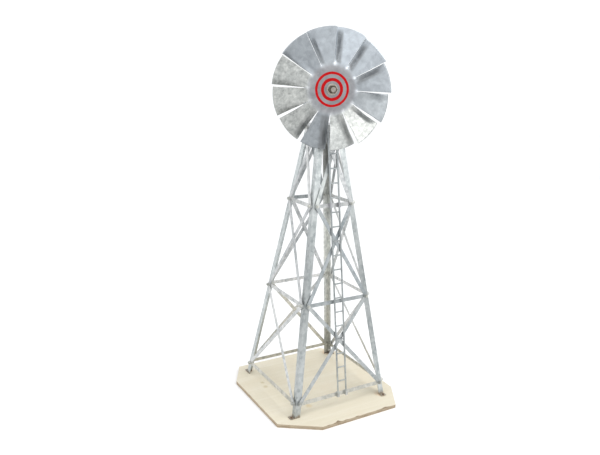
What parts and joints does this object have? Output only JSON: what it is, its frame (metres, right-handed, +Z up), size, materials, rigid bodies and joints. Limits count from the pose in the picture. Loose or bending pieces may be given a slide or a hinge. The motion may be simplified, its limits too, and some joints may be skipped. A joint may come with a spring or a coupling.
{
  "type": "garden windmill",
  "caption": "Ornamental garden windmill: a square lattice tower of angle legs and flat braces on a board, with a swivelling head, a bladed sheet wheel and a tail vane.",
  "frame": {"origin": "on the tower's axis at the board's underside, which stands on the ground", "axes": "+Z up; -Y is the tower's ladder face; +X to the right of it seen from the front"},
  "size_m": [0.492, 0.5991, 1.2715],
  "materials": {
    "plywood": "weathered, pale cream face",
    "leg_steel": "weathered galvanised",
    "back_leg_steel": "galvanised, stained khaki with rust near the foot",
    "strap_steel": "galvanised",
    "ladder_steel": "galvanised",
    "clip_steel": "dark, oxidised",
    "fastener_zinc": "zinc plated",
    "screw_rust": "rusted",
    "head_steel": "galvanised",
    "bush_brass": "satin",
    "wheel_sheet": "galvanised, two red painted rings on the hub",
    "hub_washer": "tarnished",
    "vane_sheet": "galvanised"
  },
  "bodies": {
    "tower": {"base_board": "plywood", "brace_lower_back_left": "strap_steel", "brace_lower_back_right": "strap_steel", "brace_lower_front_left": "strap_steel", "brace_lower_front_right": "strap_steel", "brace_lower_left_left": "strap_steel", "brace_lower_left_right": "strap_steel", "brace_lower_right_left": "strap_steel", "brace_lower_right_right": "strap_steel", "brace_middle_back_left": "strap_steel", "brace_middle_back_right": "strap_steel", "brace_middle_front_left": "strap_steel", "brace_middle_front_right": "strap_steel", "brace_middle_left_left": "strap_steel", "brace_middle_left_right": "strap_steel", "brace_middle_right_left": "strap_steel", "brace_middle_right_right": "strap_steel", "brace_upper_back_left": "strap_steel", "brace_upper_back_right": "strap_steel", "brace_upper_front_left": "strap_steel", "brace_upper_front_right": "strap_steel", "brace_upper_left_left": "strap_steel", "brace_upper_left_right": "strap_steel", "brace_upper_right_left": "strap_steel", "brace_upper_right_right": "strap_steel", "foot_screws": "screw_rust", "girt_high_back": "strap_steel", "girt_high_front": "strap_steel", "girt_high_left": "strap_steel", "girt_high_right": "strap_steel", "girt_low_back": "strap_steel", "girt_low_front": "strap_steel", "girt_low_left": "strap_steel", "girt_low_right": "strap_steel", "girt_mid_back": "strap_steel", "girt_mid_front": "strap_steel", "girt_mid_left": "strap_steel", "girt_mid_right": "strap_steel", "joint_bolts": "fastener_zinc", "joint_nuts": "fastener_zinc", "joint_washers": "fastener_zinc", "ladder": "ladder_steel", "ladder_clips": "clip_steel", "leg_back": "back_leg_steel", "leg_front": "leg_steel", "leg_left": "leg_steel", "leg_right": "leg_steel", "pivot_post": "fastener_zinc", "post_nuts": "fastener_zinc", "thrust_washer": "fastener_zinc", "tower_cap": "strap_steel"},
    "head": {"head_housing": "head_steel", "axle_bushes": "bush_brass", "tail_boom": "head_steel", "tail_vane": "vane_sheet", "tail_rivets": "fastener_zinc"},
    "wheel": {"axle_bolt": "fastener_zinc", "hub_washers": "hub_washer", "hub_nuts": "fastener_zinc", "wheel": "wheel_sheet"}
  },
  "joints": [
    {"name": "head_swivel", "type": "hinge", "parent": "tower", "child": "head", "pos_m": [0, 0, 0.986], "axis": [0, 0, 1], "continuous": true},
    {"name": "wheel_spin", "type": "hinge", "parent": "head", "child": "wheel", "pos_m": [0, 0, 1.081], "axis": [-0.342, -0.9397, 0], "continuous": true}
  ]
}
